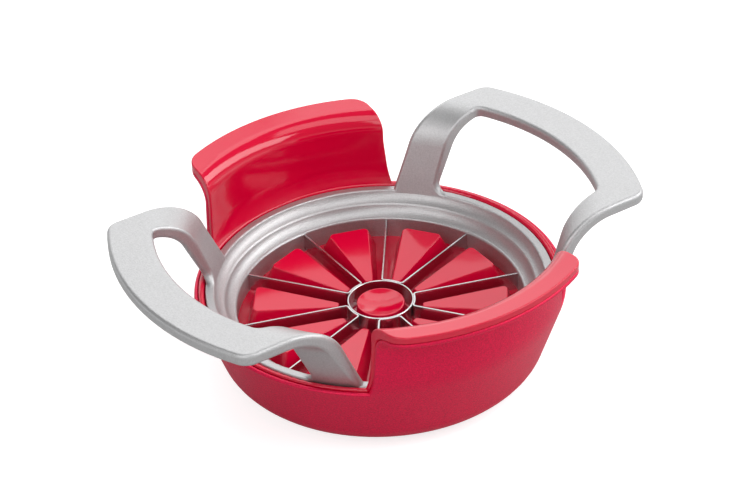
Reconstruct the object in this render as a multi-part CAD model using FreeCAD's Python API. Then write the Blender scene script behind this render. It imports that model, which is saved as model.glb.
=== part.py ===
"""Apple divider: a cast frame with ten blades that presses down into a base with ten pushers.

Millimetres. +Z is up, the table is z = 0, Z runs through the middle of the fruit opening, and the two handles
point along +X and -X. Two bodies: the base (outer_shell, pusher_tray) and the cutter that lifts off it
(cutter_frame, core_ring, blade_strip_1 to blade_strip_5). The cutter is drawn pressed home in the base.
"""
import FreeCAD, Part
import math
import os

# ---------------------------------------------------------------- driving sizes
# Fruit opening and blades
opening_radius = 45.0  # clear radius of the ring at its lip
blade_plane_height = 20.0  # tops of the blades above the table
strip_count = 5  # each strip makes two blades
strip_thickness = 0.55
strip_height = 6.1
strip_top_drop = 0.1  # blade tops below the blade plane
strip_cast_depth = 1.2  # how far a strip's end is cast into the ring
strip_bend_radius = 0.9  # on the strip's middle line
core_ring_radius = 10.4  # outside
core_ring_wall = 0.5
core_ring_height = 6.2

# Cast ring
ring_width = 9.2  # from the opening to the ring's outer side
ring_rim_rise = 7.5  # rim above the blade plane
ring_web = 3.0  # thickness of the dished ring, square to the dish
skirt_depth = 6.7  # inner wall below the blade plane
skirt_wall = 2.2
skirt_draft = 0.3
lip_round = 0.7
rim_width = 2.85  # level top of the rim, with its rounds
rim_round = 0.5
rim_lean = 72.0  # degrees that the rim's inner round reaches past its top, down into the dish
cove_sag = 0.42  # hollow of the two coves in the dish
ridge_width = 0.6  # flat between the two coves

# Handles, cast with the ring
handle_thickness = 4.0
handle_half_width = 41.5
handle_length = 27.5  # from the ring's outer side to the outer edge of the grips
handle_rise = 33.8  # top of the grips above the blade plane
handle_corner_radius = 5.5
handle_bend_radius = 15.0  # upper surface, from leg to grip
grip_level_width = 11.4  # level part of the grip
handle_sheet_span = 140.0  # degrees, more than a handle is wide
window_half_width = 31.0
grip_width = 13.7  # from the window to the outer edge of the grip
window_corner_radius = 3.0
root_fillet = 4.0
root_proud = 0.06  # inner side of a leg in front of the dish's edge
edge_round = 1.2

# Outer shell of the base
foot_radius = 34.5
foot_ring_width = 3.5
foot_recess = 0.8
floor_slope = 14.7  # degrees, from the foot outward
corner_radius = 8.0  # between floor and side
side_lean = 18.3  # degrees from upright
wall_offset = 4.9  # from the ring's outer side to the upright outer side of the walls
wall_upright_height = 35.0  # where the side becomes upright
side_blend_radius = 25.0
flare_height = 43.2  # where the wall starts to flare
flare_radius = 6.0
flare_slope = 18.0  # degrees, underside of the lip
lip_reach = 67.4
shell_wall = 1.4
shell_rim_height = 27.3
shell_rim_round = 0.55

# Tray in the base
tray_wall = 1.3
tray_rim_rise = 0.6  # above the shell's rim
tray_rim_round = 1.0
lip_top_height = 54.0
lip_top_slope = 10.0  # degrees
lip_inner_bend = 6.4
deck_thickness = 1.8
stand_radius = 32.0
stand_wall = 1.6

# Wall ends
wall_half_width_foot = 34.2
wall_half_width_top = 32.9
wall_corner_radius = 7.0
shell_edge_round = 0.5
tray_edge_round = 0.4

# Pushers on the tray
pusher_reach = 39.6  # outer edge of the top face
pusher_tip_reach = 13.2
pusher_half_width = 6.75  # at the outer edge
pusher_tip_half_width = 1.1
pusher_rise = 0.35  # outer edge above the blade plane
pusher_tip_drop = 2.2  # tip below the blade plane
pusher_draft = 18.0  # degrees
pusher_corner_round = 1.6
pusher_tip_fullness = 0.8  # round of the tip's two edges, as a share of its half width
pusher_edge_round = 0.35
pusher_wall = 1.7
core_pusher_radius = 7.5
core_pusher_drop = 1.1  # its rim below the blade plane
core_pusher_draft = 0.4
dish_rim_width = 0.5
dish_depth = 1.3

# Clearances
seat_clearance = 0.35  # cutter to tray, all round the ring
shell_clearance = 0.1  # tray to shell

# ---------------------------------------------------------------- derived sizes
Z_AXIS = FreeCAD.Vector(0, 0, 1)
ORIGIN = FreeCAD.Vector(0, 0, 0)
ring_outer_radius = opening_radius + ring_width
handle_reach = ring_outer_radius + handle_length
handle_bend_reach = handle_reach - grip_level_width
window_reach = handle_reach - grip_width
wall_outer_radius = ring_outer_radius + wall_offset
deck_height = blade_plane_height - skirt_depth
blade_count = 2 * strip_count
blade_pitch = 360.0 / blade_count
SAME = 1e-6  # two lengths that differ by less are equal
ALIGNED = 0.9  # smallest share of a face's normal along an axis that it faces


def sin(degrees):
    return math.sin(math.radians(degrees))


def cos(degrees):
    return math.cos(math.radians(degrees))


def tan(degrees):
    return math.tan(math.radians(degrees))


# ---------------------------------------------------------------- drawing helpers
def section(radius, height):
    """A point in the half plane that is turned round Z."""
    return FreeCAD.Vector(radius, 0, height)


def plan(angle, radius, height=0.0):
    """A point in plan, by angle in degrees from +X and radius."""
    return FreeCAD.Vector(radius * cos(angle), radius * sin(angle), height)


def on_arc(centre, radius, angle):
    """A point of a section arc, by angle in degrees from +X towards +Z."""
    return centre + section(radius * cos(angle), radius * sin(angle))


def line(start, end):
    return Part.LineSegment(start, end).toShape()


def arc_through(start, middle, end):
    return Part.Arc(start, middle, end).toShape()


def section_arc(centre, radius, angle_start, angle_end):
    middle = on_arc(centre, radius, (angle_start + angle_end) / 2.0)
    return arc_through(on_arc(centre, radius, angle_start), middle, on_arc(centre, radius, angle_end))


def sagged(start, end, sag):
    """An arc from start to end whose middle lies sag to the right of the straight line, in the section."""
    along = (end - start).normalize()
    aside = FreeCAD.Vector(along.z, 0, -along.x)
    return arc_through(start, (start + end) * 0.5 + aside * sag, end)


def start_of(edge):
    return edge.valueAt(edge.FirstParameter)


def end_of(edge):
    return edge.valueAt(edge.LastParameter)


def joined(edges):
    """The edges in order, with a straight line wherever one ends away from where the next one starts."""
    whole = []
    for index, edge in enumerate(edges):
        whole.append(edge)
        following = edges[(index + 1) % len(edges)]
        if (end_of(edge) - start_of(following)).Length > SAME:
            whole.append(line(end_of(edge), start_of(following)))
    return whole


def polyline(*points):
    return [line(a, b) for a, b in zip(points, points[1:])]


def turned(edges, centre_angle=0.0, span=360.0):
    """The solid of revolution of a closed section, about Z."""
    face = Part.Face(Part.Wire(joined(edges)))
    face.rotate(ORIGIN, Z_AXIS, centre_angle - span / 2.0)
    return face.revolve(ORIGIN, Z_AXIS, span)


def prism(edges, direction):
    return Part.Face(Part.Wire(joined(edges))).extrude(direction)


def turned_copy(shape, angle):
    copy = shape.copy()
    copy.rotate(ORIGIN, Z_AXIS, angle)
    return copy


def single_solid(shape):
    """The one solid of a boolean result, with leftover seams removed."""
    clean = shape.removeSplitter()
    return clean.Solids[0]


# ---------------------------------------------------------------- cutter: strips and core ring
def strip_side(angle_low, angle_high, offset):
    """One face line of a bent strip in plan, offset from its middle line into the gap between its blades."""
    hug = core_ring_radius + strip_thickness / 2.0
    centre_radius = hug + strip_bend_radius
    bend_angle = math.degrees(math.asin(strip_bend_radius / centre_radius))
    leg_start = centre_radius * cos(bend_angle)
    leg_end = opening_radius + strip_cast_depth
    bend = strip_bend_radius - offset

    def leg_point(angle, radius, side):
        return plan(angle, radius) + plan(angle + 90.0 * side, offset)

    def bend_arc(angle, side):
        centre = plan(angle + bend_angle * side, centre_radius)
        on_leg = leg_point(angle, leg_start, side)
        on_hug = plan(angle + bend_angle * side, hug + offset)
        middle = centre + ((on_leg - centre).normalize() + (on_hug - centre).normalize()).normalize() * bend
        return on_leg, middle, on_hug

    low_leg, low_middle, low_hug = bend_arc(angle_low, 1)
    high_leg, high_middle, high_hug = bend_arc(angle_high, -1)
    hug_middle = plan((angle_low + angle_high) / 2.0, hug + offset)
    return [
        line(leg_point(angle_low, leg_end, 1), low_leg),
        arc_through(low_leg, low_middle, low_hug),
        arc_through(low_hug, hug_middle, high_hug),
        arc_through(high_hug, high_middle, high_leg),
        line(high_leg, leg_point(angle_high, leg_end, -1)),
    ]


def reversed_edges(edges):
    """The same open chain of lines and arcs, run from its other end."""
    back = []
    for edge in reversed(edges):
        middle = edge.valueAt((edge.FirstParameter + edge.LastParameter) / 2.0)
        if edge.Curve.TypeId == "Part::GeomLine":
            back.append(line(end_of(edge), start_of(edge)))
        else:
            back.append(arc_through(end_of(edge), middle, start_of(edge)))
    return back


def blade_strip(index):
    """A strip bent round the core ring, with a blade at each end."""
    angle_low = blade_pitch * (2 * index + 0.5)
    angle_high = angle_low + blade_pitch
    near = strip_side(angle_low, angle_high, strip_thickness / 2.0)
    far = strip_side(angle_low, angle_high, -strip_thickness / 2.0)
    strip = prism(near + reversed_edges(far), Z_AXIS * strip_height)
    strip.translate(Z_AXIS * (blade_plane_height - strip_top_drop - strip_height))
    return strip


def core_ring():
    """The round core cutter."""
    outside = Part.makeCylinder(core_ring_radius, core_ring_height)
    inside = Part.makeCylinder(core_ring_radius - core_ring_wall, core_ring_height)
    ring = outside.cut(inside)
    ring.translate(Z_AXIS * (blade_plane_height - strip_top_drop - core_ring_height))
    return ring


# ---------------------------------------------------------------- cutter: cast ring and handles
rim_height = blade_plane_height + ring_rim_rise
rim_inner_radius = ring_outer_radius - rim_width
rim_inner_centre = section(rim_inner_radius + rim_round, rim_height - rim_round)
rim_outer_centre = section(ring_outer_radius - rim_round, rim_height - rim_round)
dish_foot = section(opening_radius + lip_round, blade_plane_height + lip_round)
dish_top = on_arc(rim_inner_centre, rim_round, 90.0 + rim_lean)
dish_slope = math.degrees(math.atan2(dish_top.z - dish_foot.z, dish_top.x - dish_foot.x))
skirt_outer_radius = opening_radius + skirt_draft + skirt_wall


def under_dish(radius, extra=0.0):
    """A point on the underside of the dished ring, lowered square to it by extra."""
    drop = (ring_web + extra) / cos(dish_slope)
    return section(radius, dish_foot.z + (radius - dish_foot.x) * tan(dish_slope) - drop)


def cast_ring():
    """The ring: a rounded rim, two coves down to the lip, and the skirt that holds the blades."""
    ridge = (dish_foot + dish_top) * 0.5
    ridge_half = section(cos(dish_slope), sin(dish_slope)) * (ridge_width / 2.0)
    lip_centre = section(opening_radius + lip_round, blade_plane_height)
    edges = [
        section_arc(lip_centre, lip_round, 180.0, 90.0),
        sagged(dish_foot, ridge - ridge_half, cove_sag),
        sagged(ridge + ridge_half, dish_top, cove_sag),
        section_arc(rim_inner_centre, rim_round, 90.0 + rim_lean, 90.0),
        section_arc(rim_outer_centre, rim_round, 90.0, 0.0),
    ]
    edges += polyline(
        under_dish(ring_outer_radius),
        under_dish(skirt_outer_radius),
        section(skirt_outer_radius, deck_height),
        section(opening_radius + skirt_draft, deck_height),
    )
    return turned(edges)


def tangent_angle(point, centre, radius):
    """Angle on a circle, in degrees, where a line that rises from a point on its inner side touches it."""
    across = centre - point
    line_angle = math.atan2(across.z, across.x) + math.asin(radius / across.Length)
    return math.degrees(line_angle) + 90.0


def handle_sheet():
    """The curved sheet that one handle is cut from, turned about Z.

    A leg's inner side runs straight on from the dish, and its outer side from the side of the rim, to the
    bend into the level grip. Both sides start a little lower, inside the ring.
    """
    top = blade_plane_height + handle_rise
    under_radius = handle_bend_radius - handle_thickness
    bend_centre = section(handle_bend_reach, top - handle_bend_radius)
    foot = under_dish(ring_outer_radius).z
    rim_side = section(ring_outer_radius, rim_height - rim_round)
    dish_side = dish_top - section(root_proud, 0)
    inner_angle = tangent_angle(dish_side, bend_centre, handle_bend_radius)
    outer_angle = tangent_angle(rim_side, bend_centre, under_radius)
    inner_foot = dish_side - section(1.0 / tan(inner_angle - 90.0), 1.0) * (dish_side.z - foot)
    outer_foot = rim_side - section(1.0 / tan(outer_angle - 90.0), 1.0) * (rim_side.z - foot)
    sheet_end = handle_reach + handle_corner_radius
    edges = [
        section_arc(bend_centre, handle_bend_radius, inner_angle, 90.0),
        line(section(sheet_end, top), section(sheet_end, top - handle_thickness)),
        section_arc(bend_centre, under_radius, 90.0, outer_angle),
        line(outer_foot, inner_foot),
    ]
    return turned(edges, 0.0, handle_sheet_span)


def outline_prism(half_width, reach, corner_radius, from_x, low, high):
    """An upright prism in plan: two sides along X, closed by an arc about Z with rounded corners."""
    corner_x = math.sqrt(reach ** 2 - half_width ** 2)
    edges = [
        line(FreeCAD.Vector(from_x, -half_width, low), FreeCAD.Vector(corner_x, -half_width, low)),
        arc_through(
            FreeCAD.Vector(corner_x, -half_width, low),
            FreeCAD.Vector(reach, 0, low),
            FreeCAD.Vector(corner_x, half_width, low),
        ),
        line(FreeCAD.Vector(corner_x, half_width, low), FreeCAD.Vector(from_x, half_width, low)),
    ]
    block = prism(edges, Z_AXIS * (high - low))
    corners = [
        edge
        for edge in block.Edges
        if abs(edge.Length - (high - low)) < SAME and abs(edge.CenterOfMass.x - corner_x) < SAME
    ]
    return block.makeFillet(corner_radius, corners)


def root_flare(side_y, outward, low):
    """The fillet at the foot of a leg's side edge: a prism along X with a quarter round cut out of it."""
    foot = rim_height
    far_y = side_y + outward * root_fillet
    high = foot + root_fillet
    middle = FreeCAD.Vector(0, far_y - outward * root_fillet * cos(45.0), high - root_fillet * sin(45.0))
    round_edge = arc_through(FreeCAD.Vector(0, side_y, high), middle, FreeCAD.Vector(0, far_y, foot))
    edges = [round_edge]
    edges += polyline(
        FreeCAD.Vector(0, far_y, foot),
        FreeCAD.Vector(0, far_y, low),
        FreeCAD.Vector(0, side_y, low),
        FreeCAD.Vector(0, side_y, high),
    )
    return prism(edges, FreeCAD.Vector(handle_reach, 0, 0))


def is_side_face(face):
    """True for the faces that end the sheet sideways: upright planes along X, and rounds about Z or X."""
    surface = face.Surface
    if surface.TypeId == "Part::GeomPlane":
        return abs(surface.Axis.y) > ALIGNED
    if surface.TypeId != "Part::GeomCylinder":
        return False
    if abs(surface.Axis.x) > ALIGNED:
        return True
    about_z = math.hypot(surface.Center.x, surface.Center.y) < SAME
    return not about_z or any(abs(surface.Radius - reach) < SAME for reach in (handle_reach, window_reach))


def handle():
    """One handle on the +X side, from its root in the ring to its grip, with its edges rounded.

    The rounding runs on by itself down the root fillets, which the edges above them meet without a corner.
    """
    low = blade_plane_height
    high = blade_plane_height + 2.0 * handle_rise
    half = handle_half_width
    outside = outline_prism(half, handle_reach, handle_corner_radius, 0.0, low, high)
    window = outline_prism(window_half_width, window_reach, window_corner_radius, 0.0, rim_height, high)
    for side in (1, -1):
        window = window.cut(root_flare(side * window_half_width, -side, low))
    sheet = handle_sheet()
    shape = single_solid(sheet.common(outside).cut(window))
    side_faces = [face for face in shape.Faces if is_side_face(face)]
    other_faces = [face for face in shape.Faces if not is_side_face(face)]
    rounded = []
    for side_face in side_faces:
        for edge in side_face.Edges:
            shared = any(edge.isSame(other) for face in other_faces for other in face.Edges)
            above_root = edge.BoundBox.ZMin > rim_height + root_fillet / 2.0
            if shared and above_root:
                rounded.append(edge)
    return shape.makeFillet(edge_round, rounded)


def cutter_frame(strips):
    """The casting: ring and two handles, with the ends of the strips cast in."""
    one_handle = handle()
    frame = cast_ring().fuse([one_handle, turned_copy(one_handle, 180.0)])
    return single_solid(frame.cut(strips))


# ---------------------------------------------------------------- base: outer shell
SIDE_LINE = 2  # places of the leaning side and of the flare among the edges of shell_side
FLARE_ARC = 4


def shell_side(inset):
    """The shell's side line, inset from its outer face, from the foot up to the reach of the lip.

    Its edges are the floor slope, the corner, the leaning side, the blend, the flare and the underside of
    the lip.
    """
    upright = wall_outer_radius
    blend_centre = section(upright - side_blend_radius, wall_upright_height)
    side_top = on_arc(blend_centre, side_blend_radius - inset, -side_lean)
    down_side = section(-sin(side_lean), -cos(side_lean))
    inward = section(-sin(floor_slope), cos(floor_slope)) * inset
    foot = section(foot_radius, 0) + inward
    along_floor = section(cos(floor_slope), sin(floor_slope))
    # where the leaning side meets the floor slope
    across = side_top - foot
    reach = (across.x * down_side.z - across.z * down_side.x) / (
        along_floor.x * down_side.z - along_floor.z * down_side.x
    )
    corner = foot + along_floor * reach
    turn = 90.0 - side_lean - floor_slope
    radius = corner_radius - inset
    tangent = radius * tan(turn / 2.0)
    corner_start = corner - along_floor * tangent
    corner_end = corner - down_side * tangent
    corner_centre = corner_start + section(-sin(floor_slope), cos(floor_slope)) * radius
    flare_centre = section(upright + flare_radius, flare_height)
    flare_end = on_arc(flare_centre, flare_radius + inset, 90.0 + flare_slope)
    lip_height = flare_end.z + (lip_reach - flare_end.x) * tan(flare_slope)
    edges = [
        line(foot, corner_start),
        section_arc(corner_centre, radius, floor_slope - 90.0, -side_lean),
        line(corner_end, side_top),
        section_arc(blend_centre, side_blend_radius - inset, -side_lean, 0.0),
        section_arc(flare_centre, flare_radius + inset, 180.0, 90.0 + flare_slope),
        line(flare_end, section(lip_reach, lip_height)),
    ]
    return edges


def shell_radius(height, inset):
    """Radius of the shell's side at a height on its leaning part or its blend."""
    blend_low = wall_upright_height - (side_blend_radius - inset) * sin(side_lean)
    if height < blend_low:
        at_blend = wall_outer_radius - side_blend_radius + (side_blend_radius - inset) * cos(side_lean)
        return at_blend - (blend_low - height) * tan(side_lean)
    drop = wall_upright_height - height
    flat = math.sqrt((side_blend_radius - inset) ** 2 - drop ** 2)
    return wall_outer_radius - side_blend_radius + flat


def wall_region(foot):
    """The space that the two tall walls fill: tapered ends, and lips with rounded corners in plan."""
    high = lip_top_height + lip_reach
    taper = [
        FreeCAD.Vector(-wall_half_width_foot, -lip_reach, foot),
        FreeCAD.Vector(wall_half_width_foot, -lip_reach, foot),
        FreeCAD.Vector(wall_half_width_top, -lip_reach, flare_height),
        FreeCAD.Vector(-wall_half_width_top, -lip_reach, flare_height),
    ]
    lower = prism(polyline(*taper, taper[0]), FreeCAD.Vector(0, 2.0 * lip_reach, 0))
    upper = outline_prism(wall_half_width_top, lip_reach, wall_corner_radius, 0.0, flare_height, high)
    upper = turned_copy(upper, 90.0)
    upper = upper.fuse(turned_copy(upper, 180.0))
    return lower.fuse(upper)


def end_edges(walls):
    """The long edges of the walls' end faces, which face along X."""
    chosen = []
    for face in walls.Faces:
        if face.Surface.TypeId == "Part::GeomPlane" and abs(face.Surface.Axis.x) > ALIGNED:
            chosen += [edge for edge in face.Edges if edge.BoundBox.ZLength > shell_wall / 2.0]
    return chosen


def outer_shell():
    """The satin bowl with the outer skins of both walls, standing on a foot ring."""
    outer_edges = shell_side(0.0)
    inner_edges = shell_side(shell_wall)
    floor_top = foot_recess + shell_wall
    sheet = turned(
        outer_edges
        + reversed_edges(inner_edges)
        + polyline(
            section(0, start_of(inner_edges[0]).z),
            section(0, foot_recess),
            section(foot_radius - foot_ring_width, foot_recess),
            section(foot_radius - foot_ring_width, 0),
        )
    )
    floor = Part.makeCylinder(foot_radius, floor_top - foot_recess, section(0, foot_recess))
    bowl_space = Part.makeCylinder(lip_reach + shell_wall, shell_rim_height, ORIGIN)
    bowl = sheet.fuse(floor).common(bowl_space)
    rim_edges = [
        edge
        for edge in bowl.Edges
        if edge.Curve.TypeId == "Part::GeomCircle" and abs(edge.CenterOfMass.z - shell_rim_height) < SAME
    ]
    bowl = bowl.makeFillet(shell_rim_round, rim_edges)
    walls = sheet.common(wall_region(shell_rim_height - 2.0 * shell_rim_round))
    walls = walls.makeFillet(shell_edge_round, end_edges(walls))
    return single_solid(bowl.fuse(walls))


# ---------------------------------------------------------------- base: pusher tray
def pusher_block(inset, low):
    """A wedge with drafted sides on the +X axis, its faces moved inward by inset, down to the height low."""
    length = pusher_reach - pusher_tip_reach
    top_slope = (pusher_rise + pusher_tip_drop) / length
    side_slope = (pusher_half_width - pusher_tip_half_width) / length
    side_draft = tan(pusher_draft) * math.sqrt(1.0 + side_slope ** 2)
    reach = pusher_reach - inset
    tip = pusher_tip_reach
    if inset > 0:
        tip += (2.0 * inset - pusher_tip_half_width) / side_slope

    def top_at(along):
        return blade_plane_height + pusher_rise - (pusher_reach - along) * top_slope - inset

    def corners(along, height):
        half = pusher_half_width - (pusher_reach - along) * side_slope - inset
        half += (top_at(along) - height) * side_draft
        return [FreeCAD.Vector(along, -half, height), FreeCAD.Vector(along, half, height)]

    low_reach = reach + (top_at(reach) - low) * tan(pusher_draft)
    low_tip = tip - (top_at(tip) - low) * tan(pusher_draft)
    above = corners(tip, top_at(tip)) + corners(reach, top_at(reach))[::-1]
    below = corners(low_tip, low) + corners(low_reach, low)[::-1]
    outlines = [Part.makePolygon(points + points[:1]) for points in (below, above)]
    return Part.makeLoft(outlines, True, True)


def upright_edges(block, nearest, furthest):
    """The edges of a pusher that run up from its foot, between two distances along X."""
    return [
        edge
        for edge in block.Edges
        if edge.BoundBox.ZLength > skirt_depth / 2.0 and nearest < edge.CenterOfMass.x < furthest
    ]


def pusher():
    """One pusher, rounded at its upright edges and round its top."""
    block = pusher_block(0.0, deck_height - deck_thickness / 2.0)
    middle = (pusher_tip_reach + pusher_reach) / 2.0
    block = block.makeFillet(pusher_corner_round, upright_edges(block, middle, opening_radius))
    block = block.makeFillet(pusher_tip_half_width * pusher_tip_fullness, upright_edges(block, 0.0, middle))
    top_face = max(block.Faces, key=lambda face: face.CenterOfMass.z)
    return block.makeFillet(pusher_edge_round, top_face.Edges)


def dish_arc(bottom, edge_point):
    """The section of a dish that is level at its bottom on Z and rises to its edge."""
    depth = edge_point.z - bottom.z
    radius = (edge_point.x ** 2 + depth ** 2) / (2.0 * depth)
    centre = bottom + Z_AXIS * radius
    middle_turn = math.degrees(math.asin(edge_point.x / radius)) / 2.0
    return arc_through(bottom, on_arc(centre, radius, middle_turn - 90.0), edge_point)


def core_pusher():
    """The round pusher in the middle, with a dished top."""
    rim = blade_plane_height - core_pusher_drop
    low = deck_height - deck_thickness / 2.0
    dish_radius = core_pusher_radius - dish_rim_width
    rim_round = dish_rim_width / 2.0
    dish_bottom = section(0, rim - dish_depth)
    edges = [
        dish_arc(dish_bottom, section(dish_radius, rim)),
        section_arc(section(core_pusher_radius - rim_round, rim - rim_round), rim_round, 90.0, 0.0),
    ]
    edges += polyline(section(core_pusher_radius + core_pusher_draft, low), section(0, low))
    return turned(edges)


def tray_body():
    """The tray without its pushers: rim bead, cutter seat, deck, stand, and the inner skins of the walls."""
    inset = shell_wall + shell_clearance
    outer_edges = shell_side(inset)
    rim = shell_rim_height + tray_rim_rise
    bore = ring_outer_radius + seat_clearance
    pocket = skirt_outer_radius + seat_clearance
    seat_top = under_dish(bore, seat_clearance)
    seat_low = under_dish(pocket, seat_clearance)
    rim_outer = shell_radius(shell_rim_height, inset)
    outside_low = under_dish(shell_radius(seat_top.z - tray_wall, inset), seat_clearance + tray_wall)
    outside_deck = under_dish(pocket + tray_wall, seat_clearance + tray_wall)
    outer_round = tray_rim_round / 2.0
    low = [
        section_arc(section(bore + tray_rim_round, rim - tray_rim_round), tray_rim_round, 180.0, 90.0),
        section_arc(section(rim_outer - outer_round, rim - outer_round), outer_round, 90.0, 0.0),
    ]
    low += polyline(
        section(rim_outer, shell_rim_height),
        section(shell_radius(outside_low.z, inset), outside_low.z),
        outside_deck,
        section(outside_deck.x, deck_height - deck_thickness),
        section(0, deck_height - deck_thickness),
        section(0, deck_height),
        section(pocket, deck_height),
        seat_low,
        seat_top,
    )
    body = turned(low)
    floor_top = foot_recess + shell_wall
    stand_height = deck_height - deck_thickness / 2.0 - floor_top
    stand = Part.makeCylinder(stand_radius, stand_height, section(0, floor_top))
    stand = stand.cut(Part.makeCylinder(stand_radius - stand_wall, stand_height, section(0, floor_top)))
    return body.fuse([stand, tray_walls(outer_edges, inset, shell_rim_height - tray_rim_round)])


def tray_walls(outer_edges, inset, foot):
    """The inner skins of the two walls, with the tops of their lips."""
    inner_radius = wall_outer_radius - inset - tray_wall
    inner_side = shell_side(inset + tray_wall)[SIDE_LINE:FLARE_ARC]
    lip_edge = section(lip_reach, lip_top_height)
    bend_centre_x = inner_radius + lip_inner_bend
    bend_end_x = bend_centre_x - lip_inner_bend * sin(lip_top_slope)
    bend_end = section(bend_end_x, lip_edge.z - (lip_edge.x - bend_end_x) * tan(lip_top_slope))
    bend_centre = section(bend_centre_x, bend_end.z - lip_inner_bend * cos(lip_top_slope))
    lip = [
        line(lip_edge, bend_end),
        section_arc(bend_centre, lip_inner_bend, 90.0 + lip_top_slope, 180.0),
    ]
    skin = turned(outer_edges[SIDE_LINE:] + lip + reversed_edges(inner_side))
    walls = skin.common(wall_region(foot))
    return walls.makeFillet(tray_edge_round, end_edges(walls))


def pusher_tray():
    """The inner moulding of the base: tray body, ten hollow pushers and the round core pusher."""
    one_pusher = pusher()
    hollow = pusher_block(pusher_wall, deck_height - deck_thickness)
    pushers = [turned_copy(one_pusher, blade_pitch * index) for index in range(blade_count)]
    hollows = [turned_copy(hollow, blade_pitch * index) for index in range(blade_count)]
    return single_solid(tray_body().fuse(pushers + [core_pusher()]).cut(hollows))


# ---------------------------------------------------------------- write the model
def main():
    os.makedirs("parts", exist_ok=True)
    strips = [blade_strip(index) for index in range(strip_count)]
    nodes = {
        "outer_shell": outer_shell(),
        "pusher_tray": pusher_tray(),
        "cutter_frame": cutter_frame(strips),
        "core_ring": core_ring(),
    }
    for index, strip in enumerate(strips):
        nodes[f"blade_strip_{index + 1}"] = strip
    for name, shape in nodes.items():
        shape.exportStep(f"parts/{name}.step")
        box = shape.BoundBox
        size = f"{box.XLength:.1f} x {box.YLength:.1f} x {box.ZLength:.1f}"
        print(f"{name}: {len(shape.Solids)} solid, {size} mm, {shape.Volume / 1000.0:.2f} cm3")


main()
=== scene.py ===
"""Apple divider: a satin bowl with a glossy pusher tray in it, and a cast cutter frame with ten blades.

Every size is in metres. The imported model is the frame, and each piece made here stands for one or more
of its nodes and rides on their body: the shell and the tray on "base", the casting and the blades on
"cutter".
"""

import math

import bmesh
import bpy
from mathutils import Matrix, Vector


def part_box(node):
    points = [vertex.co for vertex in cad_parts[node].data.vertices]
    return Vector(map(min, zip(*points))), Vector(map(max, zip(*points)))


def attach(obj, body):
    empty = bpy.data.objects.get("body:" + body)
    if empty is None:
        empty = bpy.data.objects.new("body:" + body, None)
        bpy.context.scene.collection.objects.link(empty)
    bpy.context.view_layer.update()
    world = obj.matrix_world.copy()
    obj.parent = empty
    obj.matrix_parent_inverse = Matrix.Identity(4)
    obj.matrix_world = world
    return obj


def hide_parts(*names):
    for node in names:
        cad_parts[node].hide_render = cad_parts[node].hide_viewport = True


bl_info = {
    "name": "Apple Divider",
    "version": (1, 0, 0),
    "blender": (4, 5, 0),
    "location": "3D View > Sidebar > Divider",
    "description": "Builds the looks of an apple divider around its packed model",
    "category": "Object",
}

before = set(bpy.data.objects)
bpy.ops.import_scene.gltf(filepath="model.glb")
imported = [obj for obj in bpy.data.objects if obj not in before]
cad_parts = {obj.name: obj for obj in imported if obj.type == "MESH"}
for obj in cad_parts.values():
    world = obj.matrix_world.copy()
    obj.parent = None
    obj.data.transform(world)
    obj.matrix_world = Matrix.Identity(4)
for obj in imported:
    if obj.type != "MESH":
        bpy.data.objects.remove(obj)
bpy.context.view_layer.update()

BASE_BODY = "base"
CUTTER_BODY = "cutter"
STRIP_NODES = sorted(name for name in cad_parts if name.startswith("blade_strip_"))
MM = 0.001
SAME_POINT = 0.001 * MM
CURVE_STEPS = 8
CORE_SEGMENTS = 96
SENSOR_WIDTH = 36.0
WHITE = (1.0, 1.0, 1.0, 1.0)
LAMP_DISTANCE = 1.2
# Name, width and height in metres, power in watts, and direction from the object.
LAMPS = (
    ("back_panel", (1.8, 0.85), 6.6, (0.50, 0.80, 0.49)),
    ("overhead_softbox", (0.9, 0.4), 2.4, (0.45, 0.75, 1.35)),
    ("top_softbox", (1.0, 0.6), 3.6, (0.05, -0.45, 1.1)),
    ("key_softbox", (1.5, 0.5), 10.0, (1.05, -0.60, 0.80)),
    ("fill_softbox", (1.2, 0.6), 5.0, (-0.90, -0.45, 0.80)),
)


# ---------------------------------------------------------------- settings
class BladeSettings(bpy.types.PropertyGroup):
    """Sizes of the bent strips and of the core ring."""

    thickness: bpy.props.FloatProperty(
        name="Strip Thickness", description="Thickness of the blade strips",
        default=0.55 * MM, subtype="DISTANCE", unit="LENGTH")
    bend_radius: bpy.props.FloatProperty(
        name="Bend Radius",
        description="Bend of a strip where it leaves the core ring, on its middle line",
        default=0.9 * MM, subtype="DISTANCE", unit="LENGTH")
    reach: bpy.props.FloatProperty(
        name="Reach", description="Distance of a strip's cast-in end from the middle",
        default=46.2 * MM, subtype="DISTANCE", unit="LENGTH")
    core_wall: bpy.props.FloatProperty(
        name="Core Wall", description="Thickness of the core ring",
        default=0.5 * MM, subtype="DISTANCE", unit="LENGTH")
    ground_height: bpy.props.FloatProperty(
        name="Ground Height", description="Height of the ground cutting edge",
        default=1.6 * MM, subtype="DISTANCE", unit="LENGTH")
    edge_share: bpy.props.FloatProperty(
        name="Edge Share",
        description="Width that the cutting edge keeps, as a share of the thickness",
        default=0.12, min=0.01, max=1.0, subtype="FACTOR")
    steel_colour: bpy.props.FloatVectorProperty(
        name="Steel Colour", description="Colour of the stainless steel",
        default=(0.60, 0.60, 0.61), size=3, min=0.0, max=1.0, subtype="COLOR")


class CastingSettings(bpy.types.PropertyGroup):
    """Finish of the cast frame."""

    colour: bpy.props.FloatVectorProperty(
        name="Aluminium Colour", description="Colour of the blasted aluminium",
        default=(0.50, 0.50, 0.505), size=3, min=0.0, max=1.0, subtype="COLOR")
    grain: bpy.props.FloatProperty(
        name="Grain", description="Size of the blasted grain",
        default=0.5 * MM, subtype="DISTANCE", unit="LENGTH")


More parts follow.
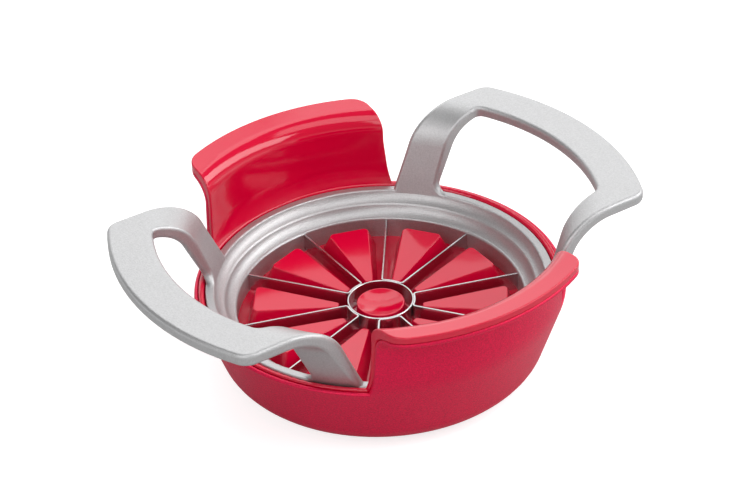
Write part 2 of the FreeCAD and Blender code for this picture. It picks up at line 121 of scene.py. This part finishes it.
class PlasticSettings(bpy.types.PropertyGroup):
    """Finish of the two red mouldings."""

    shell_colour: bpy.props.FloatVectorProperty(
        name="Shell Colour", description="Colour of the satin outer shell",
        default=(0.76, 0.002, 0.062), size=3, min=0.0, max=1.0, subtype="COLOR")
    tray_colour: bpy.props.FloatVectorProperty(
        name="Tray Colour", description="Colour of the glossy pusher tray",
        default=(0.68, 0.0, 0.034), size=3, min=0.0, max=1.0, subtype="COLOR")
    speckle: bpy.props.FloatProperty(
        name="Speckle", description="Size of the spark erosion grain of the satin shell",
        default=0.42 * MM, subtype="DISTANCE", unit="LENGTH")


class StudioSettings(bpy.types.PropertyGroup):
    """Camera, lamps and floor."""

    azimuth: bpy.props.FloatProperty(
        name="Azimuth", description="Direction of the camera round the object",
        default=math.radians(-32.07), subtype="ANGLE")
    elevation: bpy.props.FloatProperty(
        name="Elevation", description="Height of the camera above the horizon",
        default=math.radians(34.15), subtype="ANGLE")
    roll: bpy.props.FloatProperty(
        name="Roll", description="Tilt of the camera about its line of sight",
        default=math.radians(-2.51), subtype="ANGLE")
    distance: bpy.props.FloatProperty(
        name="Distance", description="Distance from the camera to its target",
        default=0.6628, subtype="DISTANCE", unit="LENGTH")
    target: bpy.props.FloatVectorProperty(
        name="Target", description="Point that the camera looks at",
        default=(13.55 * MM, 23.66 * MM, 20.0 * MM), size=3, subtype="XYZ", unit="LENGTH")
    lens: bpy.props.FloatProperty(
        name="Lens", description="Focal length of the camera in millimetres",
        default=98.34, min=1.0)
    floor_width: bpy.props.FloatProperty(
        name="Floor Width", description="Side of the square floor",
        default=6.0, subtype="DISTANCE", unit="LENGTH")
    room_light: bpy.props.FloatProperty(
        name="Room Light", description="Even light of the room on the object",
        default=0.22, min=0.0, max=1.0, subtype="FACTOR")
    # Reach of the painted shade that surfaces reflect from the floor near the object.
    shade_reach: bpy.props.FloatProperty(
        name="Shade Reach",
        description="Distance from the object at which reflections show the whole floor glow",
        default=0.6, subtype="DISTANCE", unit="LENGTH")
    floor_glow: bpy.props.FloatProperty(
        name="Floor Glow",
        description="Light that the floor near the object shows to the camera by itself",
        default=0.74, min=0.0, max=1.0, subtype="FACTOR")
    paper_shade: bpy.props.FloatProperty(
        name="Paper Shade", description="Share of the light that the floor gives back",
        default=0.55, min=0.0, max=1.0, subtype="FACTOR")
    mirrored_room: bpy.props.FloatProperty(
        name="Mirrored Room", description="Brightness of the upper room in reflections",
        default=0.2, min=0.0, max=1.0, subtype="FACTOR")


# ---------------------------------------------------------------- node helpers
def add(tree, kind, inputs=None, **values):
    """Adds a node, sets its values, and sets or links its inputs by name or place."""
    made = tree.nodes.new(kind)
    for name, value in values.items():
        setattr(made, name, value)
    for socket, value in (inputs or {}).items():
        if isinstance(value, bpy.types.NodeSocket):
            tree.links.new(value, made.inputs[socket])
        else:
            made.inputs[socket].default_value = value
    return made


def maths(tree, operation, first, second=0.0):
    return add(tree, "ShaderNodeMath", {0: first, 1: second}, operation=operation).outputs[0]


def between(tree, value, low, high):
    """A value from 0 to 1 stretched to run from low to high."""
    return add(tree, "ShaderNodeMapRange", {
        "Value": value, "To Min": low, "To Max": high}).outputs["Result"]


def material_named(name):
    """A new material's tree and its Principled shader."""
    material = bpy.data.materials.new(name)
    material.use_nodes = True
    tree = material.node_tree
    return material, tree, tree.nodes["Principled BSDF"]


def object_noise(tree, size, detail=2.0, squeeze=(1.0, 1.0, 1.0)):
    """Noise on object coordinates. Its grains are about size across, divided by squeeze along each axis."""
    place = add(tree, "ShaderNodeTexCoord").outputs["Object"]
    mapping = add(tree, "ShaderNodeMapping", {"Vector": place, "Scale": squeeze})
    noise = add(tree, "ShaderNodeTexNoise", {
        "Vector": mapping.outputs["Vector"], "Scale": 1.0 / size, "Detail": detail, "Roughness": 0.6})
    return noise.outputs["Fac"]


def tinted(tree, colour, value, depth):
    """The colour made darker and lighter by a value from 0 to 1, at most by depth each way."""
    shade = between(tree, value, 1.0 - depth, 1.0 + depth)
    return add(tree, "ShaderNodeVectorMath", {
        0: colour, "Scale": shade}, operation="SCALE").outputs["Vector"]


def bumped(tree, height, strength, depth):
    """A normal from a height, whose relief is depth from 0 to 1."""
    return add(tree, "ShaderNodeBump", {
        "Height": height, "Strength": strength, "Distance": depth}).outputs["Normal"]


# ---------------------------------------------------------------- materials
def satin_plastic(settings):
    """Red plastic with pearl pigment from a spark-eroded mould: a soft satin with a fine speckle."""
    material, tree, shader = material_named("satin_plastic")
    speckle = object_noise(tree, settings.speckle)
    clouds = object_noise(tree, size=14.0 * MM, detail=3.0)
    colour = tinted(tree, settings.shell_colour[:], speckle, depth=0.5)
    tree.links.new(colour, shader.inputs["Base Color"])
    tree.links.new(between(tree, clouds, low=0.36, high=0.44), shader.inputs["Roughness"])
    tree.links.new(bumped(tree, speckle, strength=0.8, depth=0.10 * MM), shader.inputs["Normal"])
    shader.inputs["Metallic"].default_value = 0.45
    shader.inputs["IOR"].default_value = 1.5
    return material


def gloss_plastic(settings):
    """Red plastic from a polished mould: deep gloss, faint waves, and a few dull patches from handling."""
    material, tree, shader = material_named("gloss_plastic")
    waves = object_noise(tree, size=7.0 * MM, detail=1.0)
    handling = object_noise(tree, size=18.0 * MM, detail=4.0)
    colour = tinted(tree, settings.tray_colour[:], handling, depth=0.05)
    tree.links.new(colour, shader.inputs["Base Color"])
    tree.links.new(between(tree, handling, low=0.06, high=0.15), shader.inputs["Roughness"])
    tree.links.new(bumped(tree, waves, strength=0.12, depth=0.05 * MM), shader.inputs["Normal"])
    shader.inputs["IOR"].default_value = 1.56
    return material


def blasted_aluminium(settings):
    """Cast aluminium, bead blasted: soft gloss, a fine grain, and cloudy patches from the casting."""
    material, tree, shader = material_named("blasted_aluminium")
    grain = object_noise(tree, settings.grain, detail=3.0)
    clouds = object_noise(tree, size=9.0 * MM, detail=4.0)
    colour = tinted(tree, settings.colour[:], grain, depth=0.24)
    tree.links.new(colour, shader.inputs["Base Color"])
    average = maths(tree, "MULTIPLY", maths(tree, "ADD", grain, clouds), 0.5)
    tree.links.new(between(tree, average, low=0.37, high=0.51), shader.inputs["Roughness"])
    tree.links.new(bumped(tree, grain, strength=0.80, depth=0.10 * MM), shader.inputs["Normal"])
    shader.inputs["Metallic"].default_value = 0.78
    return material


def bright_steel(name, colour, lines):
    """Stainless steel with the fine lines that rolling leaves, whose height the function lines gives."""
    material, tree, shader = material_named(name)
    marks = lines(tree)
    tree.links.new(tinted(tree, colour, marks, depth=0.06), shader.inputs["Base Color"])
    tree.links.new(between(tree, marks, low=0.16, high=0.30), shader.inputs["Roughness"])
    tree.links.new(bumped(tree, marks, strength=0.10, depth=0.02 * MM), shader.inputs["Normal"])
    shader.inputs["Metallic"].default_value = 1.0
    return material


def lines_along_strip(tree):
    """Lines that run along a strip, whose length its "along" attribute measures."""
    marks_per_metre = 60.0
    lines_per_metre = 5000.0
    along = add(tree, "ShaderNodeAttribute", attribute_name="along").outputs["Fac"]
    place = add(tree, "ShaderNodeTexCoord").outputs["Object"]
    height = add(tree, "ShaderNodeSeparateXYZ", {"Vector": place}).outputs["Z"]
    stretched = add(tree, "ShaderNodeCombineXYZ", {
        "X": maths(tree, "MULTIPLY", along, marks_per_metre),
        "Y": maths(tree, "MULTIPLY", height, lines_per_metre)})
    return add(tree, "ShaderNodeTexNoise", {
        "Vector": stretched.outputs["Vector"], "Scale": 1.0, "Detail": 3.0}).outputs["Fac"]


def lines_round_ring(tree):
    """Lines that run round the core ring."""
    return object_noise(tree, size=0.2 * MM, detail=3.0, squeeze=(0.02, 0.02, 1.0))


# ---------------------------------------------------------------- mesh helpers
def linked(name, mesh):
    """A new object of that mesh, in the scene."""
    piece = bpy.data.objects.new(name, mesh)
    bpy.context.scene.collection.objects.link(piece)
    return piece


def smoothed(mesh, sharp_angle):
    """Shades a mesh smooth, with sharp edges where its faces meet at more than the angle in degrees."""
    mesh.shade_smooth()
    mesh.set_sharp_from_angle(angle=math.radians(sharp_angle))


def joined_copy(node, name):
    """A copy of a CAD node, with its triangles joined into one skin that keeps the exact normals."""
    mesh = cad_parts[node].data.copy()
    mesh.materials.clear()
    corner_normals = [Vector(corner.vector) for corner in mesh.corner_normals]
    skin = bmesh.new()
    skin.from_mesh(mesh)
    kept = skin.loops.layers.float_vector.new("kept_normal")
    for face in skin.faces:
        start = mesh.polygons[face.index].loop_start
        for place, corner in enumerate(face.loops):
            corner[kept] = corner_normals[start + place]
    bmesh.ops.remove_doubles(skin, verts=skin.verts, dist=SAME_POINT)
    normals = [Vector(corner[kept]) for face in skin.faces for corner in face.loops]
    skin.loops.layers.float_vector.remove(kept)
    skin.to_mesh(mesh)
    skin.free()
    mesh.shade_smooth()
    mesh.normals_split_custom_set(normals)
    return linked(name, mesh)


def finish_piece(piece, material, body, nodes):
    """Gives a piece its material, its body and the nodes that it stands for."""
    piece.data.materials.clear()
    piece.data.materials.append(material)
    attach(piece, body)
    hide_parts(*nodes)


def bake(piece):
    """Turns a piece's evaluated shape into its plain mesh and removes its modifiers."""
    evaluated = piece.evaluated_get(bpy.context.evaluated_depsgraph_get())
    mesh = bpy.data.meshes.new_from_object(evaluated)
    piece.modifiers.clear()
    piece.data = mesh


def lathe(name, profile, segments):
    """A new object: a closed profile of (radius, height) points turned about Z."""
    mesh = bpy.data.meshes.new(name)
    skin = bmesh.new()
    rings = []
    for step in range(segments):
        angle = 2.0 * math.pi * step / segments
        rings.append([
            skin.verts.new((radius * math.cos(angle), radius * math.sin(angle), height))
            for radius, height in profile])
    for step, ring in enumerate(rings):
        following = rings[(step + 1) % segments]
        for place in range(len(profile)):
            beyond = (place + 1) % len(profile)
            skin.faces.new((ring[place], following[place], following[beyond], ring[beyond]))
    bmesh.ops.recalc_face_normals(skin, faces=skin.faces)
    skin.to_mesh(mesh)
    skin.free()
    return linked(name, mesh)


# ---------------------------------------------------------------- blade strips
def strip_path(settings, hug):
    """The middle line of one strip in plan: in along one blade, round the core ring, out along the next.

    hug is the radius of that line where it lies against the core ring.
    """
    pitch = math.pi / len(STRIP_NODES)
    bend_centre = hug + settings.bend_radius
    bend_turn = math.asin(settings.bend_radius / bend_centre)

    def turned(radius, angle):
        return Vector((radius * math.cos(angle), radius * math.sin(angle), 0.0))

    centre = turned(bend_centre, bend_turn)
    start = -math.pi / 2.0
    sweep = -(math.pi / 2.0 - bend_turn)
    side = [turned(settings.reach, 0.0)]
    for step in range(CURVE_STEPS + 1):
        angle = start + sweep * step / CURVE_STEPS
        side.append(centre + turned(settings.bend_radius, angle))
    hug_start = bend_turn
    hug_sweep = pitch - bend_turn - hug_start
    round_core = [
        turned(hug, hug_start + hug_sweep * step / CURVE_STEPS) for step in range(1, CURVE_STEPS)]
    mirrored = [
        turned(point.length, pitch - math.atan2(point.y, point.x)) for point in reversed(side)]
    return [Matrix.Rotation(pitch / 2.0, 3, "Z") @ point for point in side + round_core + mirrored]


def strips_tree():
    """Geometry nodes: the path gets the strip's section, and is repeated round the middle."""
    tree = bpy.data.node_groups.new("blade_strips", "GeometryNodeTree")
    sockets = tree.interface
    sockets.new_socket("Geometry", in_out="INPUT", socket_type="NodeSocketGeometry")
    sockets.new_socket("Geometry", in_out="OUTPUT", socket_type="NodeSocketGeometry")
    for name in ("Thickness", "Height", "Ground Height", "Edge Share", "Edge Round"):
        sockets.new_socket(name, in_out="INPUT", socket_type="NodeSocketFloat")
    sockets.new_socket("Strip Count", in_out="INPUT", socket_type="NodeSocketInt")
    sockets.new_socket("Material", in_out="INPUT", socket_type="NodeSocketMaterial")
    given = add(tree, "NodeGroupInput").outputs

    path = add(tree, "GeometryNodeMeshToCurve", {"Mesh": given["Geometry"]}).outputs["Curve"]
    path = add(tree, "GeometryNodeSetCurveNormal", {
        "Curve": path}, mode="Z_UP").outputs["Curve"]
    length = add(tree, "GeometryNodeSplineParameter").outputs["Length"]
    path = add(tree, "GeometryNodeStoreNamedAttribute", {
        "Geometry": path, "Name": "along", "Value": length}, domain="POINT").outputs["Geometry"]

    section = add(tree, "GeometryNodeCurvePrimitiveQuadrilateral", {
        "Width": given["Thickness"], "Height": given["Height"]}, mode="RECTANGLE").outputs["Curve"]
    section = add(tree, "GeometryNodeFilletCurve", {
        "Curve": section, "Radius": given["Edge Round"], "Count": 2, "Limit Radius": True},
        mode="POLY").outputs["Curve"]
    section = add(tree, "GeometryNodeSubdivideCurve", {
        "Curve": section, "Cuts": 5}).outputs["Curve"]
    place = add(tree, "GeometryNodeInputPosition").outputs["Position"]
    split = add(tree, "ShaderNodeSeparateXYZ", {"Vector": place}).outputs
    half_height = maths(tree, "MULTIPLY", given["Height"], 0.5)
    from_edge = maths(tree, "SUBTRACT", half_height, split["Y"])
    share = maths(tree, "DIVIDE", from_edge, given["Ground Height"])
    share = maths(tree, "MINIMUM", maths(tree, "MAXIMUM", share, given["Edge Share"]), 1.0)
    ground = add(tree, "ShaderNodeCombineXYZ", {
        "X": maths(tree, "MULTIPLY", split["X"], share), "Y": split["Y"]}).outputs["Vector"]
    section = add(tree, "GeometryNodeSetPosition", {
        "Geometry": section, "Position": ground}).outputs["Geometry"]

    strip = add(tree, "GeometryNodeCurveToMesh", {
        "Curve": path, "Profile Curve": section, "Fill Caps": True}).outputs["Mesh"]
    turns = add(tree, "GeometryNodeMeshLine", {
        "Count": given["Strip Count"], "Offset": (0.0, 0.0, 0.0)}, mode="OFFSET").outputs["Mesh"]
    index = add(tree, "GeometryNodeInputIndex").outputs["Index"]
    step = maths(tree, "DIVIDE", 2.0 * math.pi, given["Strip Count"])
    turn = add(tree, "ShaderNodeCombineXYZ", {
        "Z": maths(tree, "MULTIPLY", index, step)}).outputs["Vector"]
    rotation = add(tree, "FunctionNodeEulerToRotation", {"Euler": turn}).outputs["Rotation"]
    strips = add(tree, "GeometryNodeInstanceOnPoints", {
        "Points": turns, "Instance": strip, "Rotation": rotation}).outputs["Instances"]
    real = add(tree, "GeometryNodeRealizeInstances", {"Geometry": strips}).outputs["Geometry"]
    painted = add(tree, "GeometryNodeSetMaterial", {
        "Geometry": real, "Material": given["Material"]}).outputs["Geometry"]
    add(tree, "NodeGroupOutput", {"Geometry": painted})
    return tree


def run_tree(piece, tree, values):
    """Runs a geometry tree on a piece with its inputs set by name, and keeps the result as a plain mesh."""
    modifier = piece.modifiers.new(tree.name, "NODES")
    modifier.node_group = tree
    for item in tree.interface.items_tree:
        if item.in_out == "INPUT" and item.name in values:
            modifier[item.identifier] = values[item.name]
    bake(piece)


class DIVIDER_OT_blade_strips(bpy.types.Operator):
    """Makes the bent blade strips with their ground cutting edges"""

    bl_idname = "divider.blade_strips"
    bl_label = "Blade Strips"

    def execute(self, context):
        settings = context.scene.divider_blades
        low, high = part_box(STRIP_NODES[0])
        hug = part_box("core_ring")[1].x + settings.thickness / 2.0
        edge_round = settings.thickness / 6.0
        middle = (low.z + high.z) / 2.0
        points = [point + Vector((0.0, 0.0, middle)) for point in strip_path(settings, hug)]
        mesh = bpy.data.meshes.new("blade_strips")
        mesh.from_pydata(points, [(place, place + 1) for place in range(len(points) - 1)], [])
        piece = linked("blade_strips", mesh)
        steel = bright_steel("strip_steel", settings.steel_colour[:], lines_along_strip)
        run_tree(piece, strips_tree(), {
            "Thickness": settings.thickness,
            "Height": high.z - low.z,
            "Ground Height": settings.ground_height,
            "Edge Share": settings.edge_share,
            "Edge Round": edge_round,
            "Strip Count": len(STRIP_NODES),
            "Material": steel,
        })
        smoothed(piece.data, sharp_angle=40.0)
        finish_piece(piece, steel, CUTTER_BODY, STRIP_NODES)
        return {"FINISHED"}


class DIVIDER_OT_core_ring(bpy.types.Operator):
    """Makes the round core cutter with its ground lower edge"""

    bl_idname = "divider.core_ring"
    bl_label = "Core Ring"

    def execute(self, context):
        settings = context.scene.divider_blades
        low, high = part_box("core_ring")
        outer = high.x
        inner = outer - settings.core_wall
        soft = settings.core_wall / 5.0
        profile = [
            (outer, low.z + settings.ground_height),
            (outer, high.z - soft),
            (outer - soft, high.z),
            (inner + soft, high.z),
            (inner, high.z - soft),
            (inner, low.z),
            (inner + settings.core_wall * settings.edge_share, low.z),
        ]
        piece = lathe("core_cutter", profile, CORE_SEGMENTS)
        smoothed(piece.data, sharp_angle=25.0)
        steel = bright_steel("ring_steel", settings.steel_colour[:], lines_round_ring)
        finish_piece(piece, steel, CUTTER_BODY, ["core_ring"])
        return {"FINISHED"}


# ---------------------------------------------------------------- casting and mouldings
class DIVIDER_OT_cutter_frame(bpy.types.Operator):
    """Makes the cast ring with its two handles"""

    bl_idname = "divider.cutter_frame"
    bl_label = "Cutter Frame"

    def execute(self, context):
        settings = context.scene.divider_casting
        piece = joined_copy("cutter_frame", "cast_frame")
        aluminium = blasted_aluminium(settings)
        finish_piece(piece, aluminium, CUTTER_BODY, ["cutter_frame"])
        return {"FINISHED"}


class DIVIDER_OT_outer_shell(bpy.types.Operator):
    """Makes the satin bowl with the outer skins of both walls"""

    bl_idname = "divider.outer_shell"
    bl_label = "Outer Shell"

    def execute(self, context):
        settings = context.scene.divider_plastic
        piece = joined_copy("outer_shell", "satin_shell")
        finish_piece(piece, satin_plastic(settings), BASE_BODY, ["outer_shell"])
        return {"FINISHED"}


class DIVIDER_OT_pusher_tray(bpy.types.Operator):
    """Makes the glossy tray with its pushers and the inner skins of both walls"""

    bl_idname = "divider.pusher_tray"
    bl_label = "Pusher Tray"

    def execute(self, context):
        settings = context.scene.divider_plastic
        piece = joined_copy("pusher_tray", "gloss_tray")
        finish_piece(piece, gloss_plastic(settings), BASE_BODY, ["pusher_tray"])
        return {"FINISHED"}


# ---------------------------------------------------------------- stage
def lamp(name, size, power, direction):
    """A soft rectangular lamp that shines on the object from a direction."""
    light = bpy.data.lights.new(name, "AREA")
    light.shape = "RECTANGLE"
    light.size, light.size_y = size
    light.energy = power
    holder = bpy.data.objects.new(name, light)
    bpy.context.scene.collection.objects.link(holder)
    away = Vector(direction).normalized()
    holder.location = away * LAMP_DISTANCE
    holder.rotation_mode = "QUATERNION"
    holder.rotation_quaternion = away.to_track_quat("Z", "Y")


def seen_rays(tree, mirrored):
    """1 for rays from the camera, mirrored for reflections and for light through glass, and otherwise 0."""
    path = add(tree, "ShaderNodeLightPath").outputs
    indirect = maths(tree, "MAXIMUM", path["Is Glossy Ray"], path["Is Transmission Ray"])
    shown = maths(tree, "MULTIPLY", indirect, mirrored)
    return maths(tree, "MAXIMUM", path["Is Camera Ray"], shown)


def studio_floor(settings):
    """A white floor that keeps its shadow, and glows for the camera and, further out, in reflections. Near
    the object its glow fades out of reflections by distance: a painted shade in what surfaces reflect.
    """
    half = settings.floor_width / 2.0
    shade_start = settings.shade_reach / 4.0
    white_reach = half / 2.0
    mesh = bpy.data.meshes.new("studio_floor")
    corners = [(-half, -half, 0.0), (half, -half, 0.0), (half, half, 0.0), (-half, half, 0.0)]
    mesh.from_pydata(corners, [], [(0, 1, 2, 3)])
    floor = linked("studio_floor", mesh)
    material = bpy.data.materials.new("studio_floor")
    material.use_nodes = True
    tree = material.node_tree
    tree.nodes.clear()
    paper_colour = (settings.paper_shade, settings.paper_shade, settings.paper_shade, 1.0)
    paper = add(tree, "ShaderNodeBsdfDiffuse", {"Color": paper_colour}).outputs["BSDF"]
    place = add(tree, "ShaderNodeTexCoord").outputs["Object"]
    distance = add(tree, "ShaderNodeVectorMath", {0: place}, operation="LENGTH").outputs["Value"]
    # Painted shade: within shade_reach the glow fades out of reflections by distance from the object, so
    # surfaces reflect a darker floor near it.
    glow_past_painted_shade = add(tree, "ShaderNodeMapRange", {
        "Value": distance, "From Min": shade_start, "From Max": settings.shade_reach},
        interpolation_type="SMOOTHSTEP").outputs["Result"]
    level = add(tree, "ShaderNodeMapRange", {
        "Value": distance, "From Min": settings.shade_reach, "From Max": white_reach,
        "To Min": settings.floor_glow, "To Max": 1.0}).outputs["Result"]
    strength = maths(tree, "MULTIPLY", seen_rays(tree, glow_past_painted_shade), level)
    glow = add(tree, "ShaderNodeEmission", {
        "Color": WHITE, "Strength": strength}).outputs["Emission"]
    both = add(tree, "ShaderNodeAddShader", {0: paper, 1: glow}).outputs["Shader"]
    add(tree, "ShaderNodeOutputMaterial", {"Surface": both})
    mesh.materials.append(material)


def studio_world(settings):
    """A pale room with an even light. It is white to the camera, and darker upwards in reflections."""
    white_height = 0.0
    dark_height = 0.25
    world = bpy.data.worlds.new("studio")
    bpy.context.scene.world = world
    world.use_nodes = True
    tree = world.node_tree
    tree.nodes.clear()
    direction = add(tree, "ShaderNodeTexCoord").outputs["Generated"]
    height = add(tree, "ShaderNodeSeparateXYZ", {"Vector": direction}).outputs["Z"]
    mirrored = add(tree, "ShaderNodeMapRange", {
        "Value": height, "From Min": white_height, "From Max": dark_height,
        "To Min": 1.0, "To Max": settings.mirrored_room}).outputs["Result"]
    diffuse = add(tree, "ShaderNodeLightPath").outputs["Is Diffuse Ray"]
    light = maths(tree, "MULTIPLY", diffuse, settings.room_light)
    strength = maths(tree, "MAXIMUM", seen_rays(tree, mirrored), light)
    background = add(tree, "ShaderNodeBackground", {
        "Color": WHITE, "Strength": strength}).outputs["Background"]
    add(tree, "ShaderNodeOutputWorld", {"Surface": background})


def studio_camera(settings):
    """The camera, placed round its target by azimuth, elevation and roll."""
    azimuth, elevation, roll = settings.azimuth, settings.elevation, settings.roll
    level = Vector((math.cos(azimuth), math.sin(azimuth), 0.0))
    back = Vector((
        math.sin(azimuth) * math.cos(elevation),
        -math.cos(azimuth) * math.cos(elevation),
        math.sin(elevation)))
    upright = back.cross(level)
    right = math.cos(roll) * level + math.sin(roll) * upright
    up = back.cross(right)
    data = bpy.data.cameras.new("camera")
    data.sensor_width = SENSOR_WIDTH
    data.lens = settings.lens
    camera = bpy.data.objects.new("camera", data)
    bpy.context.scene.collection.objects.link(camera)
    camera.rotation_mode = "QUATERNION"
    camera.rotation_quaternion = Matrix((right, up, back)).transposed().to_quaternion()
    camera.location = Vector(settings.target) + back * settings.distance
    bpy.context.scene.camera = camera


class DIVIDER_OT_stage(bpy.types.Operator):
    """Makes the floor, the lamps, the room and the camera"""

    bl_idname = "divider.stage"
    bl_label = "Stage"

    def execute(self, context):
        settings = context.scene.divider_studio
        studio_floor(settings)
        studio_world(settings)
        for name, size, power, direction in LAMPS:
            lamp(name, size, power, direction)
        studio_camera(settings)
        context.scene.view_settings.view_transform = "Standard"
        return {"FINISHED"}


class DIVIDER_PT_panel(bpy.types.Panel):
    """Lists the pieces in the sidebar"""

    bl_idname = "DIVIDER_PT_panel"
    bl_label = "Apple Divider"
    bl_space_type = "VIEW_3D"
    bl_region_type = "UI"
    bl_category = "Divider"

    def draw(self, context):
        for operator in OPERATORS:
            self.layout.operator(operator.bl_idname)
        for group in SETTINGS:
            box = self.layout.box()
            for name in SETTINGS[group].__annotations__:
                box.prop(getattr(context.scene, group), name)


OPERATORS = (
    DIVIDER_OT_outer_shell,
    DIVIDER_OT_pusher_tray,
    DIVIDER_OT_cutter_frame,
    DIVIDER_OT_core_ring,
    DIVIDER_OT_blade_strips,
    DIVIDER_OT_stage,
)
SETTINGS = {
    "divider_blades": BladeSettings,
    "divider_casting": CastingSettings,
    "divider_plastic": PlasticSettings,
    "divider_studio": StudioSettings,
}


def register():
    for cls in (*SETTINGS.values(), *OPERATORS, DIVIDER_PT_panel):
        bpy.utils.register_class(cls)
    for name, group in SETTINGS.items():
        setattr(bpy.types.Scene, name, bpy.props.PointerProperty(type=group))


def unregister():
    for name in SETTINGS:
        delattr(bpy.types.Scene, name)
    for cls in (DIVIDER_PT_panel, *reversed(OPERATORS), *reversed(SETTINGS.values())):
        bpy.utils.unregister_class(cls)


def main():
    register()
    for operator in OPERATORS:
        group, name = operator.bl_idname.split(".")
        getattr(getattr(bpy.ops, group), name)()


if __name__ == "__main__":
    main()
